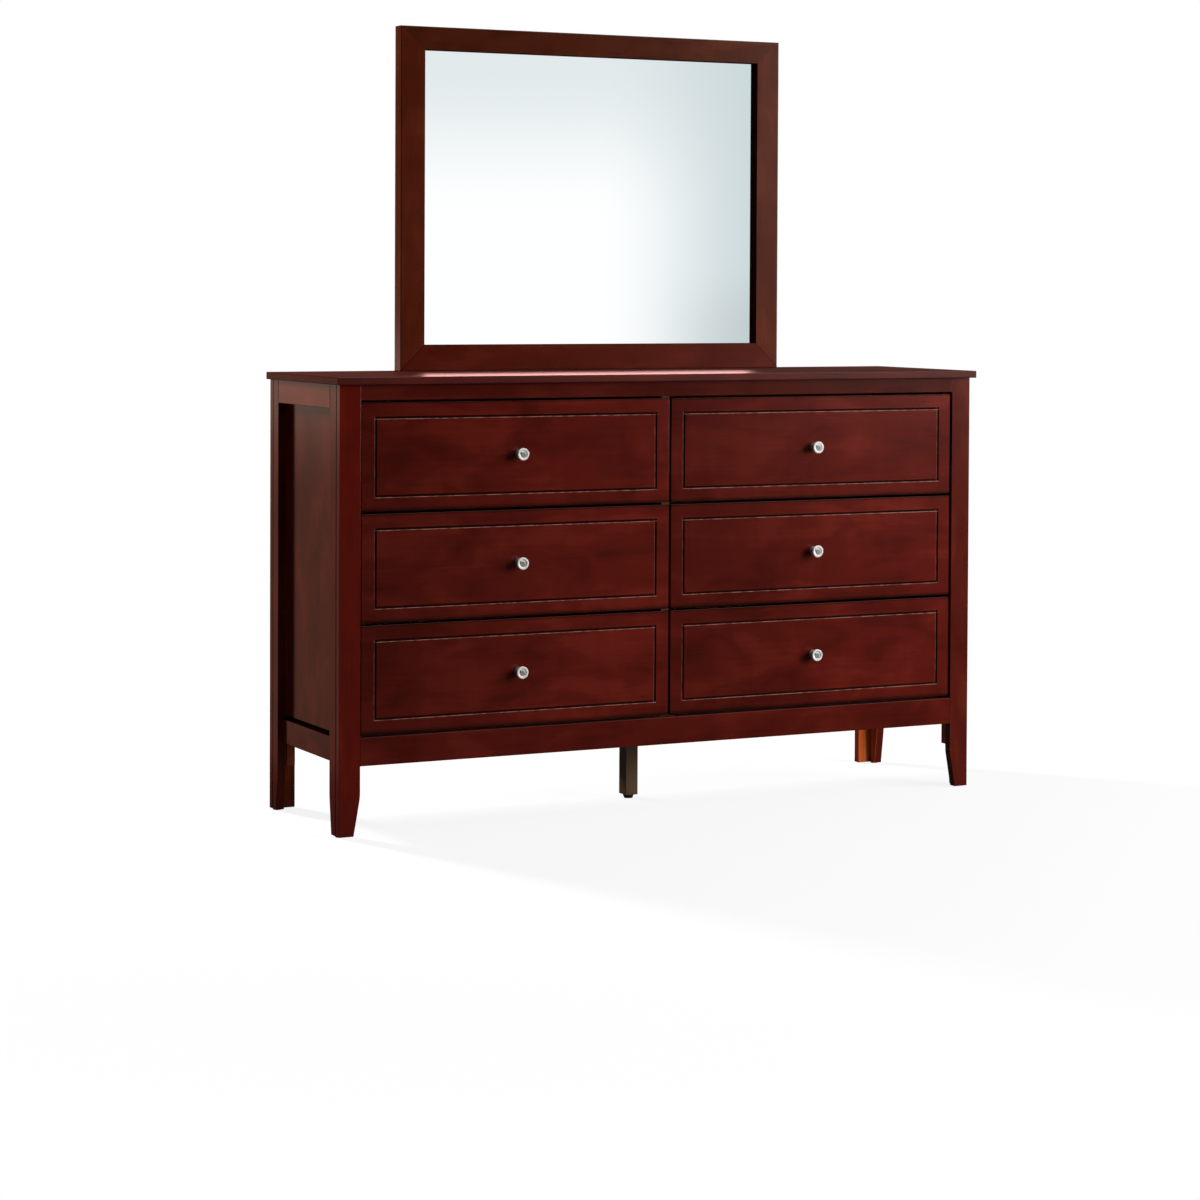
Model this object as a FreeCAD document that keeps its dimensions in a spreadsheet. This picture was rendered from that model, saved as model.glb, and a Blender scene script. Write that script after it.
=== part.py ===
import FreeCAD, Part
import math
import os
import re
import Sketcher

# A six-drawer bedroom dresser of dark stained wood with a framed mirror that stands on its top.
# Frame: origin on the floor under the middle of the whole object, +Z up, drawer fronts facing -Y.
# All sizes are in millimetres.

SIZES = {
    # Top panel and overall case
    "top_length": 1473.0,
    "top_thickness": 15.0,
    "case_height": 898.0,
    "side_overhang": 9.0,
    "front_overhang": 13.0,
    # Boards of the case
    "board_thickness": 18.0,
    "side_panel_thickness": 6.0,
    "back_panel_thickness": 5.0,
    "front_rail_height": 30.5,
    "apron_bottom": 138.5,
    "apron_height": 55.5,
    "side_rail_height": 47.0,
    "side_bottom_rail_height": 49.0,
    "side_bottom_rail_rise": 3.0,
    "side_bottom_rail_recess": 10.0,
    "back_top_rail_height": 120.0,
    "partition_thickness": 18.0,
    "partition_setback": 3.0,
    # Legs: every leg is an L of two boards; the inner edges of three in four taper to the foot
    "leg_face_width": 44.5,
    "foot_face_width": 31.0,
    "leg_side_width": 33.0,
    "foot_side_width": 23.0,
    "back_side_width": 47.0,
    "back_foot_side_width": 36.0,
    "back_face_width": 30.5,
    "taper_height": 76.0,
    "knee_radius": 110.0,
    "foot_glide_height": 2.0,
    "foot_glide_radius": 8.0,
    "foot_glide_inset": 20.0,
    # Corner blocks glued behind the leg boards
    "block_depth": 20.0,
    "bottom_block_width": 17.0,
    "bottom_block_base": 91.5,
    "bottom_block_height": 98.5,
    "top_block_height": 40.0,
    # Middle support under the case
    "stretcher_width": 60.0,
    "stretcher_thickness": 22.0,
    "centre_leg_width": 28.0,
    "centre_leg_depth": 32.0,
    "centre_leg_setback": 168.0,
    "centre_glide_height": 8.0,
    "centre_glide_top_radius": 12.0,
    "centre_glide_foot_radius": 9.0,
    # Drawer fronts
    "front_thickness": 18.0,
    "drawer_recess": 4.0,
    "drawer_gap": 4.5,
    "side_gap": 3.0,
    "centre_gap": 5.0,
    "groove_inset": 30.0,
    "groove_width": 4.5,
    "groove_floor": 0.6,
    "groove_depth": 2.4,
    # Drawer boxes
    "box_board": 14.0,
    "box_height": 165.0,
    "box_length": 320.0,
    "box_back_gap": 18.0,
    "box_rise": 20.0,
    "box_clearance": 4.0,
    "bottom_thickness": 5.0,
    "bottom_rise": 12.0,
    "bottom_engagement": 6.0,
    "bottom_groove_depth": 7.0,
    "bottom_play": 0.2,
    # Runners and the grooves that ride on them
    "runner_groove_rise": 70.0,
    "runner_groove_height": 17.0,
    "runner_groove_depth": 8.0,
    "runner_seat": 0.3,
    "runner_play": 0.7,
    "runner_tip_gap": 1.0,
    "batten_height": 40.0,
    # Knobs and their screws
    "knob_reach": 20.5,
    "knob_head_radius": 12.4,
    "knob_head_thickness": 7.5,
    "knob_head_lip": 1.6,
    "knob_rim_width": 3.4,
    "knob_dish_depth": 1.5,
    "knob_dish_slope": 2.2,
    "knob_shoulder_radius": 8.6,
    "knob_neck_radius": 5.2,
    "knob_flange_radius": 9.5,
    "knob_flange_thickness": 1.8,
    "knob_flange_slope": 1.6,
    "knob_hole_depth": 10.0,
    "knob_edge_radius": 0.35,
    "knob_screw_radius": 2.0,
    "knob_thread_fit": 0.05,
    "knob_screw_head_radius": 4.5,
    "knob_screw_head_height": 2.6,
    "knob_screw_hole_play": 0.4,
    "knob_screw_end_gap": 1.0,
    # Mirror
    "mirror_width": 904.0,
    "mirror_height": 718.0,
    "mirror_thickness": 32.0,
    "mirror_side_width": 54.0,
    "mirror_top_width": 48.0,
    "mirror_bottom_width": 54.0,
    "mirror_reveal": 15.0,
    "rabbet_width": 8.0,
    "glass_edge_gap": 1.0,
    "glass_thickness": 4.0,
    "backboard_thickness": 5.0,
    # Mirror supports and their screws
    "support_width": 38.0,
    "support_thickness": 15.0,
    "support_drop": 110.0,
    "support_rise": 520.0,
    "support_screw_inset": 28.0,
    "support_screw_lift": 100.0,
    "support_screw_radius": 2.0,
    "support_screw_fit": 0.05,
    "support_screw_head_radius": 4.0,
    "support_screw_head_height": 2.5,
    "support_screw_sink": 3.0,
    "support_screw_length": 27.0,
    "support_screw_end_gap": 0.5,
    # Softened edges, the overrun of every cut, and how near a vertex lies to count as found
    "board_edge_radius": 0.8,
    "top_edge_radius": 1.5,
    "mirror_edge_radius": 2.0,
    "overrun": 1.0,
    "found_within": 0.5,
}

# Places and sizes that follow from the driving sizes
PLACES = {
    "front_setback": "front_overhang + drawer_recess + front_thickness",
    "back_build": "back_panel_thickness + board_thickness",
    "top_depth": "front_setback + box_length + box_back_gap + back_build",
    "case_half": "top_length / 2 - side_overhang",
    "case_depth": "top_depth - front_overhang",
    "front_reach": "max(front_overhang; knob_reach - drawer_recess)",
    "post_front": "(front_reach - case_depth - support_thickness) / 2",
    "post_back": "post_front + board_thickness",
    "case_back": "post_front + case_depth",
    "leg_top": "case_height - top_thickness",
    "leg_height": "leg_top - foot_glide_height",
    "opening_half": "case_half - leg_face_width",
    "opening_bottom": "apron_bottom + apron_height",
    "opening_top": "leg_top - front_rail_height",
    "panel_outer": "case_half - board_thickness",
    "panel_inner": "panel_outer - side_panel_thickness",
    "side_bottom": "apron_bottom + side_bottom_rail_rise",
    "back_board_front": "case_back - board_thickness",
    "inside_back": "back_board_front - back_panel_thickness",
    "back_opening_half": "panel_outer - back_face_width",
    "stretcher_bottom": "opening_bottom - stretcher_thickness",
    "front_height": "(opening_top - opening_bottom - 4 * drawer_gap) / 3",
    "drawer_pitch": "front_height + drawer_gap",
    "front_width": "opening_half - side_gap - centre_gap / 2",
    "front_face": "post_front + drawer_recess",
    "front_back": "front_face + front_thickness",
    "front_middle": "centre_gap / 2 + front_width / 2",
    "box_inner_side": "partition_thickness / 2 + box_clearance",
    "box_width": "opening_half - box_clearance - box_inner_side",
    "bottom_width": "box_width - 2 * box_board + 2 * bottom_engagement",
    "bottom_length": "box_length - 2 * box_board + 2 * bottom_engagement",
    "runner_width": "box_clearance + runner_groove_depth - runner_tip_gap",
    "runner_height": "runner_groove_height - runner_seat - runner_play",
    "runner_start": "front_back + runner_seat",
    "runner_length": "inside_back - runner_start",
    "runner_bottom": "box_rise + runner_groove_rise + runner_play",
    "mirror_front": "case_back - mirror_thickness",
    "mirror_top": "case_height + mirror_height",
    "glass_front": "mirror_front + mirror_reveal",
    "glass_width": "mirror_width - 2 * mirror_side_width + 2 * (rabbet_width - glass_edge_gap)",
    "mirror_opening_height": "mirror_height - mirror_top_width - mirror_bottom_width",
    "glass_height": "mirror_opening_height + 2 * (rabbet_width - glass_edge_gap)",
    "glass_bottom": "case_height + mirror_bottom_width - rabbet_width + glass_edge_gap",
    "support_middle": "mirror_width / 2 - mirror_side_width / 2",
    "support_bottom": "leg_top - support_drop",
    "support_length": "support_drop + top_thickness + support_rise",
    "screw_seat": "case_back + support_thickness - support_screw_sink",
    "pilot_radius": "support_screw_radius + support_screw_fit",
    "pilot_reach": "support_screw_length + support_screw_end_gap",
    "pilot_depth": "pilot_reach - support_thickness + support_screw_sink",
    "knob_hole_radius": "knob_screw_radius + knob_screw_hole_play",
}

document = FreeCAD.newDocument("Dresser")
sheet = document.addObject("Spreadsheet::Sheet", "Sizes")
for line, (alias, value) in enumerate(SIZES.items(), start=1):
    sheet.set(f"A{line}", alias)
    sheet.set(f"B{line}", str(value))
    sheet.setAlias(f"B{line}", alias)
document.recompute()

WORD = re.compile("[a-z][a-z_]+")
NODES = []
ALONG_X = FreeCAD.Vector(1, 0, 0)
ALONG_Y = FreeCAD.Vector(0, 1, 0)
ALONG_Z = FreeCAD.Vector(0, 0, 1)


def formula(text):
    """Write a formula of named sizes and places as an expression on the sheet."""
    def spell(match):
        word = match.group(0)
        if word in PLACES:
            return f"({formula(PLACES[word])})"
        return f"Sizes.{word}" if word in SIZES else word
    return WORD.sub(spell, text)


def bind(thing, values):
    """Bind properties of an object to formulas."""
    for name, text in values.items():
        thing.setExpression(name, formula(text))


def place(thing, corner, turn=None):
    """Bind an object's position, after an optional turn of (axis, degrees)."""
    if turn:
        thing.Placement = FreeCAD.Placement(FreeCAD.Vector(), FreeCAD.Rotation(*turn))
    bind(thing, dict(zip(("Placement.Base.x", "Placement.Base.y", "Placement.Base.z"), corner)))


def new_body(label):
    """Start a body for one solid."""
    body = document.addObject("PartDesign::Body", label)
    body.Label = label
    return body


def box(body, kind, size, corner=("0", "0", "0")):
    """Add or take away a box in a body."""
    feature = body.newObject(f"PartDesign::{kind}Box", kind)
    bind(feature, dict(zip(("Length", "Width", "Height"), size)))
    place(feature, corner)
    return feature


def cylinder(body, kind, radius, length, start, turn=None):
    """Add or take away a cylinder whose axis starts at a point."""
    feature = body.newObject(f"PartDesign::{kind}Cylinder", kind)
    bind(feature, {"Radius": radius, "Height": length})
    place(feature, start, turn)
    return feature


def soften(body, radius, edges=None):
    """Round the named edges of a body, or all of them."""
    document.recompute()
    base = body.Tip
    feature = body.newObject("PartDesign::Fillet", "Softened")
    feature.Base = (base, edges or [""])
    feature.UseAllEdges = edges is None
    bind(feature, {"Radius": radius})
    body.Tip = feature


def board(label, size, corner, radius=None):
    """One plain board with its low corner at a place."""
    body = new_body(label)
    box(body, "Additive", size)
    if radius:
        soften(body, radius)
    place(body, corner)
    return body


def origin_plane(body, role):
    """The body's own origin plane of one role."""
    return next(plane for plane in body.Origin.OriginFeatures if plane.Role == role)


def outline(body, role, corners):
    """A closed sketch through corners given as (across, up) formulas."""
    sketch = body.newObject("Sketcher::SketchObject", "Outline")
    sketch.AttachmentSupport = [(origin_plane(body, role), "")]
    sketch.MapMode = "FlatFace"
    count = len(corners)
    reach = SIZES["leg_face_width"]
    ring = [2 * math.pi * step / count for step in range(count)]
    start = [FreeCAD.Vector(math.cos(angle), math.sin(angle), 0) * reach for angle in ring]
    for index in range(count):
        sketch.addGeometry(Part.LineSegment(start[index], start[(index + 1) % count]), False)
    for index in range(count):
        sketch.addConstraint(Sketcher.Constraint("Coincident", index, 2, (index + 1) % count, 1))
    for index, corner in enumerate(corners):
        for kind, axis, text in zip(("DistanceX", "DistanceY"), (-2, -1), corner):
            if text == "0":
                sketch.addConstraint(Sketcher.Constraint("PointOnObject", index, 1, axis))
                continue
            number = sketch.addConstraint(Sketcher.Constraint(kind, -1, 1, index, 1, reach))
            sketch.renameConstraint(number, f"{kind}{index}")
            bind(sketch, {f"Constraints.{kind}{index}": text})
    return sketch


def edges_where(shape, test):
    """Names of the edges whose vertices all pass a test."""
    return [f"Edge{number}" for number, edge in enumerate(shape.Edges, start=1)
            if all(test(vertex) for vertex in edge.Vertexes)]


def low_x(side, inner, outer):
    """Low X of a piece that spans from an inner to an outer distance on one side."""
    return f"-({outer})" if side == "left" else inner


def gather(label, pieces):
    """One node that holds several separate solids."""
    group = document.addObject("Part::Compound", label)
    group.Label = label
    group.Links = pieces
    return group


def keep(node):
    """Mark an object as a node to write."""
    NODES.append(node)
    return node


# Case


def leg_board(label, width, foot_width, corner, degrees):
    """A leg board: straight outer edge, tapered inner edge with a rounded knee."""
    body = new_body(label)
    corners = [
        ("0", "0"),
        (foot_width, "0"),
        (width, "taper_height"),
        (width, "leg_height"),
        ("0", "leg_height"),
    ]
    pad = body.newObject("PartDesign::Pad", "Pad")
    pad.Profile = outline(body, "XZ_Plane", corners)
    pad.Reversed = True
    bind(pad, {"Length": "board_thickness"})
    body.Tip = pad
    document.recompute()
    near = SIZES["found_within"]
    knee = edges_where(pad.Shape, lambda vertex: abs(vertex.Z - SIZES["taper_height"]) < near)
    soften(body, "knee_radius", knee)
    soften(body, "board_edge_radius")
    place(body, corner, (ALONG_Z, degrees))
    return body


def make_legs():
    """Four L-shaped legs, each of two glued boards."""
    base = "foot_glide_height"
    for side in ("left", "right"):
        name = f"front_{side}_leg"
        turn = 0 if side == "left" else 180
        outer = low_x(side, "case_half", "case_half")
        face_y = "post_front" if side == "left" else "post_back"
        flank_x = low_x(side, "case_half", "panel_outer")
        keep(gather(name, [
            leg_board(f"{name}_face_board", "leg_face_width", "foot_face_width",
                      (outer, face_y, base), turn),
            leg_board(f"{name}_side_board", "leg_side_width", "foot_side_width",
                      (flank_x, "post_back", base), 90),
        ]))
        name = f"back_{side}_leg"
        flank_x = low_x(side, "panel_outer", "case_half")
        keep(gather(name, [
            board(f"{name}_back_board", ("back_face_width", "board_thickness", "leg_height"),
                  (low_x(side, "back_opening_half", "panel_outer"), "back_board_front", base),
                  "board_edge_radius"),
            leg_board(f"{name}_side_board", "back_side_width", "back_foot_side_width",
                      (flank_x, "case_back", base), -90),
        ]))


def make_top():
    """The plain square-edged top panel."""
    keep(board("top_panel", ("top_length", "top_depth", "top_thickness"),
               ("-top_length / 2", "post_front - front_overhang", "leg_top"), "top_edge_radius"))


def make_sides():
    """Side panels and side rails between the legs."""
    length = "case_depth - board_thickness - leg_side_width - back_side_width"
    start = "post_back + leg_side_width"
    for side in ("left", "right"):
        keep(board(f"{side}_side_panel",
                   ("side_panel_thickness", "inside_back - post_back", "leg_top - side_bottom"),
                   (low_x(side, "panel_inner", "panel_outer"), "post_back", "side_bottom")))
        keep(board(f"{side}_side_top_rail", ("board_thickness", length, "side_rail_height"),
                   (low_x(side, "panel_outer", "case_half"), start,
                    "leg_top - side_rail_height"), "board_edge_radius"))
        keep(board(f"{side}_side_bottom_rail",
                   ("board_thickness - side_bottom_rail_recess", length,
                    "side_bottom_rail_height"),
                   (low_x(side, "panel_outer", "case_half - side_bottom_rail_recess"), start,
                    "side_bottom"), "board_edge_radius"))


def make_front_frame():
    """Top rail and apron between the front legs."""
    for name, height, low in (("front_top_rail", "front_rail_height", "opening_top"),
                              ("front_apron", "apron_height", "apron_bottom")):
        keep(board(name, ("2 * opening_half", "board_thickness", height),
                   ("-(opening_half)", "post_front", low), "board_edge_radius"))


def make_back():
    """The back panel and the rails across the back."""
    keep(board("back_panel",
               ("2 * panel_outer", "back_panel_thickness", "leg_top - opening_bottom"),
               ("-(panel_outer)", "inside_back", "opening_bottom")))
    rails = []
    for name, height, low in (("top", "back_top_rail_height", "leg_top - back_top_rail_height"),
                              ("bottom", "apron_height", "apron_bottom")):
        rails.append(board(f"back_{name}_rail",
                           ("2 * back_opening_half", "board_thickness", height),
                           ("-(back_opening_half)", "back_board_front", low)))
    for sign in "-+":
        for level in RAIL_SCREWS:
            cylinder(rails[0], "Subtractive", "pilot_radius", "pilot_depth + overrun",
                     (f"back_opening_half {sign} support_middle",
                      "board_thickness - pilot_depth",
                      f"{level} - leg_top + back_top_rail_height"), (ALONG_X, -90))
    keep(gather("back_rails", rails))


def make_inside():
    """The centre partition, the middle stretcher and the corner blocks."""
    keep(board("centre_partition",
               ("partition_thickness", "inside_back - front_back - partition_setback",
                "leg_top - opening_bottom"),
               ("-partition_thickness / 2", "front_back + partition_setback", "opening_bottom")))
    keep(board("bottom_stretcher",
               ("stretcher_width", "back_board_front - post_back", "stretcher_thickness"),
               ("-stretcher_width / 2", "post_back", "stretcher_bottom")))
    blocks = []
    ends = (("front", "post_back", "post_back"),
            ("back", "back_board_front - block_depth", "inside_back - block_depth"))
    for side in ("left", "right"):
        for end, bottom_y, top_y in ends:
            bottom_x = low_x(side, "panel_inner - bottom_block_width", "panel_inner")
            blocks.append(board(f"{side}_{end}_bottom_block",
                                ("bottom_block_width", "block_depth", "bottom_block_height"),
                                (bottom_x, bottom_y, "bottom_block_base")))
            blocks.append(board(f"{side}_{end}_top_block",
                                ("panel_inner - opening_half", "block_depth", "top_block_height"),
                                (low_x(side, "opening_half", "panel_inner"), top_y,
                                 "leg_top - top_block_height")))
    keep(gather("corner_blocks", blocks))


def make_centre_leg():
    """The square post under the middle of the case."""
    keep(board("centre_leg",
               ("centre_leg_width", "centre_leg_depth", "stretcher_bottom - centre_glide_height"),
               ("-centre_leg_width / 2", "post_front + centre_leg_setback",
                "centre_glide_height"), "board_edge_radius"))


def make_glides():
    """Round plastic glides under the legs and a tapered one under the middle post."""
    glides = []
    for side, across in (("left", "-(case_half) + board_thickness / 2"),
                         ("right", "case_half - board_thickness / 2")):
        for end, along in (("front", "post_front + foot_glide_inset"),
                           ("back", "case_back - foot_glide_inset")):
            glide = document.addObject("Part::Cylinder", f"{side}_{end}_glide")
            bind(glide, {"Radius": "foot_glide_radius", "Height": "foot_glide_height"})
            place(glide, (across, along, "0"))
            glides.append(glide)
    middle = document.addObject("Part::Cone", "centre_glide")
    bind(middle, {"Radius1": "centre_glide_foot_radius", "Radius2": "centre_glide_top_radius",
                  "Height": "centre_glide_height"})
    place(middle, ("0", "post_front + centre_leg_setback + centre_leg_depth / 2", "0"))
    keep(gather("foot_glides", glides + [middle]))


# Drawers


def drawer_bottom_place(row):
    """Height of the lower edge of a drawer front, rows counted from the bottom."""
    return f"opening_bottom + drawer_gap + {row} * drawer_pitch"


def make_runners():
    """Battens on the case sides and the runners that the drawers ride on."""
    battens = []
    runners = []
    for row in range(3):
        low = f"{drawer_bottom_place(row)} + runner_bottom"
        middle = f"{low} + runner_height / 2 - batten_height / 2"
        size = ("runner_width", "runner_length", "runner_height")
        for side in ("left", "right"):
            battens.append(board(f"{side}_batten_{row}",
                                 ("panel_inner - opening_half", "inside_back - post_back",
                                  "batten_height"),
                                 (low_x(side, "opening_half", "panel_inner"), "post_back",
                                  middle)))
        for number, runner_x in enumerate(("-(opening_half)",
                                           "-partition_thickness / 2 - runner_width",
                                           "partition_thickness / 2",
                                           "opening_half - runner_width")):
            runners.append(board(f"runner_{row}_{number}", size, (runner_x, "runner_start", low)))
    keep(gather("runner_battens", battens))
    keep(gather("drawer_runners", runners))


def drawer_front(label, left, low):
    """A drawer front with a routed V groove round its face and a hole for the knob's screw."""
    body = new_body(label)
    box(body, "Additive", ("front_width", "front_thickness", "front_height"))
    soften(body, "board_edge_radius")
    for kind, sign in (("Subtractive", "-"), ("Additive", "+")):
        rim = f"groove_inset {sign} groove_width / 2"
        floor = f"groove_inset {sign} groove_floor / 2"
        frustum = body.newObject(f"PartDesign::{kind}Wedge", "Groove")
        bind(frustum, {
            "Ymin": "0", "Ymax": "groove_depth",
            "Xmin": rim, "Xmax": f"front_width - ({rim})",
            "Zmin": rim, "Zmax": f"front_height - ({rim})",
            "X2min": floor, "X2max": f"front_width - ({floor})",
            "Z2min": floor, "Z2max": f"front_height - ({floor})",
        })
    cylinder(body, "Subtractive", "knob_hole_radius", "front_thickness + 2 * overrun",
             ("front_width / 2", "-overrun", "front_height / 2"), (ALONG_X, -90))
    place(body, (left, "front_face", low))
    return keep(body)


def drawer_side(label, left, low, outer_at_right):
    """A drawer side, grooved outside for the runner and inside for the bottom."""
    body = new_body(label)
    box(body, "Additive", ("box_board", "box_length", "box_height"))
    runner_x = "box_board - runner_groove_depth" if outer_at_right else "-overrun"
    bottom_x = "-overrun" if outer_at_right else "box_board - bottom_groove_depth"
    box(body, "Subtractive",
        ("runner_groove_depth + overrun", "box_length + 2 * overrun", "runner_groove_height"),
        (runner_x, "-overrun", "runner_groove_rise"))
    box(body, "Subtractive",
        ("bottom_groove_depth + overrun", "box_length + 2 * overrun",
         "bottom_thickness + bottom_play"), (bottom_x, "-overrun", "bottom_rise"))
    place(body, (left, "front_back", low))
    return body


def drawer_end(label, left, low, at_front, knob_x):
    """The inner front or the back of a drawer box, grooved for the bottom."""
    body = new_body(label)
    box(body, "Additive", ("box_width - 2 * box_board", "box_board", "box_height"))
    groove_y = "box_board - bottom_groove_depth" if at_front else "-overrun"
    box(body, "Subtractive",
        ("box_width", "bottom_groove_depth + overrun", "bottom_thickness + bottom_play"),
        ("-box_board", groove_y, "bottom_rise"))
    if at_front:
        cylinder(body, "Subtractive", "knob_hole_radius", "box_board + 2 * overrun",
                 (f"{knob_x} - ({left})", "-overrun", "front_height / 2 - box_rise"),
                 (ALONG_X, -90))
    along = "front_back" if at_front else "front_back + box_length - box_board"
    place(body, (left, along, low))
    return body


def knob(label, across, up):
    """A round knob: flange, neck and a dished head with a raised rim."""
    body = new_body(label)
    head_back = "knob_reach - knob_head_thickness"
    face = "knob_reach"
    hole = "knob_screw_radius + knob_thread_fit"
    corners = [
        (hole, "0"),
        ("knob_flange_radius", "0"),
        ("knob_flange_radius", "knob_flange_thickness"),
        ("knob_neck_radius", "knob_flange_thickness + knob_flange_slope"),
        ("knob_neck_radius", head_back),
        ("knob_shoulder_radius", head_back),
        ("knob_head_radius", f"{face} - 2 * knob_head_lip"),
        ("knob_head_radius", f"{face} - knob_head_lip / 2"),
        ("knob_head_radius - knob_head_lip / 2", face),
        ("knob_head_radius - knob_rim_width", face),
        ("knob_head_radius - knob_rim_width - knob_dish_slope", f"{face} - knob_dish_depth"),
        ("0", f"{face} - knob_dish_depth"),
        ("0", "knob_hole_depth"),
        (hole, "knob_hole_depth"),
    ]
    sketch = outline(body, "XY_Plane", corners)
    turned = body.newObject("PartDesign::Revolution", "Turned")
    turned.Profile = sketch
    turned.ReferenceAxis = (sketch, ["V_Axis"])
    turned.Angle = 360
    body.Tip = turned
    soften(body, "knob_edge_radius")
    place(body, (across, "front_face", up), (ALONG_Z, 180))
    return keep(body)


def knob_screw(label, across, up):
    """The machine screw that holds a knob from inside the drawer."""
    body = new_body(label)
    cylinder(body, "Additive", "knob_screw_radius",
             "front_thickness + box_board + knob_hole_depth - knob_screw_end_gap", ("0", "0", "0"))
    cylinder(body, "Additive", "knob_screw_head_radius", "knob_screw_head_height",
             ("0", "0", "-knob_screw_head_height"))
    place(body, (across, "front_back + box_board", up), (ALONG_X, 90))
    return keep(body)


def make_drawer(row, row_name, side):
    """One drawer: front, box of four boards, bottom, knob and the knob's screw."""
    name = f"{row_name}_{side}"
    low = drawer_bottom_place(row)
    box_low = f"{low} + box_rise"
    front_x = low_x(side, "centre_gap / 2", "centre_gap / 2 + front_width")
    box_x = low_x(side, "box_inner_side", "box_inner_side + box_width")
    knob_x = low_x(side, "front_middle", "front_middle")
    knob_z = f"{low} + front_height / 2"
    end_x = f"{box_x} + box_board"
    drawer_front(f"{name}_drawer_front", front_x, low)
    keep(gather(f"{name}_drawer_box", [
        drawer_side(f"{name}_box_left", box_x, box_low, False),
        drawer_side(f"{name}_box_right", f"{box_x} + box_width - box_board", box_low, True),
        drawer_end(f"{name}_box_inner_front", end_x, box_low, True, knob_x),
        drawer_end(f"{name}_box_back", end_x, box_low, False, knob_x),
    ]))
    keep(board(f"{name}_drawer_bottom", ("bottom_width", "bottom_length", "bottom_thickness"),
               (f"{end_x} - bottom_engagement", "front_back + box_board - bottom_engagement",
                f"{box_low} + bottom_rise")))
    knob(f"{name}_knob", knob_x, knob_z)
    knob_screw(f"{name}_knob_screw", knob_x, knob_z)


# Mirror

# Heights of the support screws that enter the back rail and the mirror frame
RAIL_SCREWS = ("support_bottom + support_screw_inset", "leg_top - support_screw_inset")
FRAME_SCREWS = ("case_height + support_screw_lift",
                "case_height + support_rise - support_screw_inset")


def mirror_member(label, length, start, end, width):
    """One mitred frame member, inner edge up, with a rabbet along its back."""
    body = new_body(label)
    wedge = body.newObject("PartDesign::AdditiveWedge", "Member")
    bind(wedge, {
        "Ymin": "0", "Ymax": width,
        "Xmin": f"-{length} / 2", "Xmax": f"{length} / 2",
        "X2min": f"{start} - {length} / 2", "X2max": f"{length} / 2 - {end}",
        "Zmin": "-mirror_thickness", "Zmax": "0",
        "Z2min": "-mirror_thickness", "Z2max": "0",
    })
    document.recompute()
    near = SIZES["found_within"]
    front_edge = edges_where(wedge.Shape, lambda vertex: abs(vertex.Y) + abs(vertex.Z) < near)
    soften(body, "mirror_edge_radius", front_edge)
    box(body, "Subtractive",
        (f"{length} + 2 * overrun", "rabbet_width + overrun",
         "mirror_thickness - mirror_reveal + overrun"),
        (f"-{length} / 2 - overrun", f"{width} - rabbet_width", "-mirror_thickness - overrun"))
    return body


def stand_in_frame(member, corner, degrees):
    """Face a member forward, turn its inner edge into the frame and put it in place."""
    spin = FreeCAD.Rotation(ALONG_Y, degrees)
    place(member, corner, (spin.multiply(FreeCAD.Rotation(ALONG_X, 90)),))
    keep(member)


def make_mirror():
    """The mitred frame, the glass and its backboard."""
    sides = ("mirror_side_width", "mirror_side_width")
    ends = ("mirror_bottom_width", "mirror_top_width")
    half = "mirror_width / 2"
    middle = "case_height + mirror_height / 2"
    stand_in_frame(mirror_member("mirror_bottom_rail", "mirror_width", *sides, ends[0]),
                   ("0", "mirror_front", "case_height"), 0)
    stand_in_frame(mirror_member("mirror_top_rail", "mirror_width", *sides, ends[1]),
                   ("0", "mirror_front", "mirror_top"), 180)
    for side, sign, order, degrees in (("left", "-", ends[::-1], 90), ("right", "+", ends, -90)):
        stile = mirror_member(f"mirror_{side}_stile", "mirror_height", *order, sides[0])
        for level in FRAME_SCREWS:
            cylinder(stile, "Subtractive", "pilot_radius", "pilot_depth + overrun",
                     (f"0 {sign} ({level} - ({middle}))", "mirror_side_width / 2",
                      "-mirror_thickness - overrun"))
        stand_in_frame(stile, (low_x(side, half, half), "mirror_front", middle), degrees)
    keep(board("mirror_glass", ("glass_width", "glass_thickness", "glass_height"),
               ("-(glass_width) / 2", "glass_front", "glass_bottom")))
    keep(board("mirror_backboard", ("glass_width", "backboard_thickness", "glass_height"),
               ("-(glass_width) / 2", "glass_front + glass_thickness", "glass_bottom")))


def make_supports():
    """Two uprights that tie the mirror to the case, and the screws through them."""
    supports = []
    screws = []
    for side in ("left", "right"):
        middle = low_x(side, "support_middle", "support_middle")
        support = board(f"{side}_support",
                        ("support_width", "support_thickness", "support_length"),
                        (f"{middle} - support_width / 2", "case_back", "support_bottom"))
        supports.append(support)
        for number, level in enumerate(RAIL_SCREWS + FRAME_SCREWS):
            hole = ("support_width / 2", "-overrun", f"{level} - (support_bottom)")
            cylinder(support, "Subtractive", "pilot_radius", "support_thickness + overrun", hole,
                     (ALONG_X, -90))
            sink = (hole[0], "support_thickness - support_screw_sink", hole[2])
            cylinder(support, "Subtractive", "support_screw_head_radius + support_screw_fit",
                     "support_screw_sink + overrun", sink, (ALONG_X, -90))
            screw = new_body(f"{side}_support_screw_{number}")
            cylinder(screw, "Additive", "support_screw_radius", "support_screw_length",
                     ("0", "0", "0"))
            cylinder(screw, "Additive", "support_screw_head_radius", "support_screw_head_height",
                     ("0", "0", "-support_screw_head_height"))
            place(screw, (middle, "screw_seat", level), (ALONG_X, 90))
            screws.append(screw)
    keep(gather("mirror_supports", supports))
    keep(gather("support_screws", screws))


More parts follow.
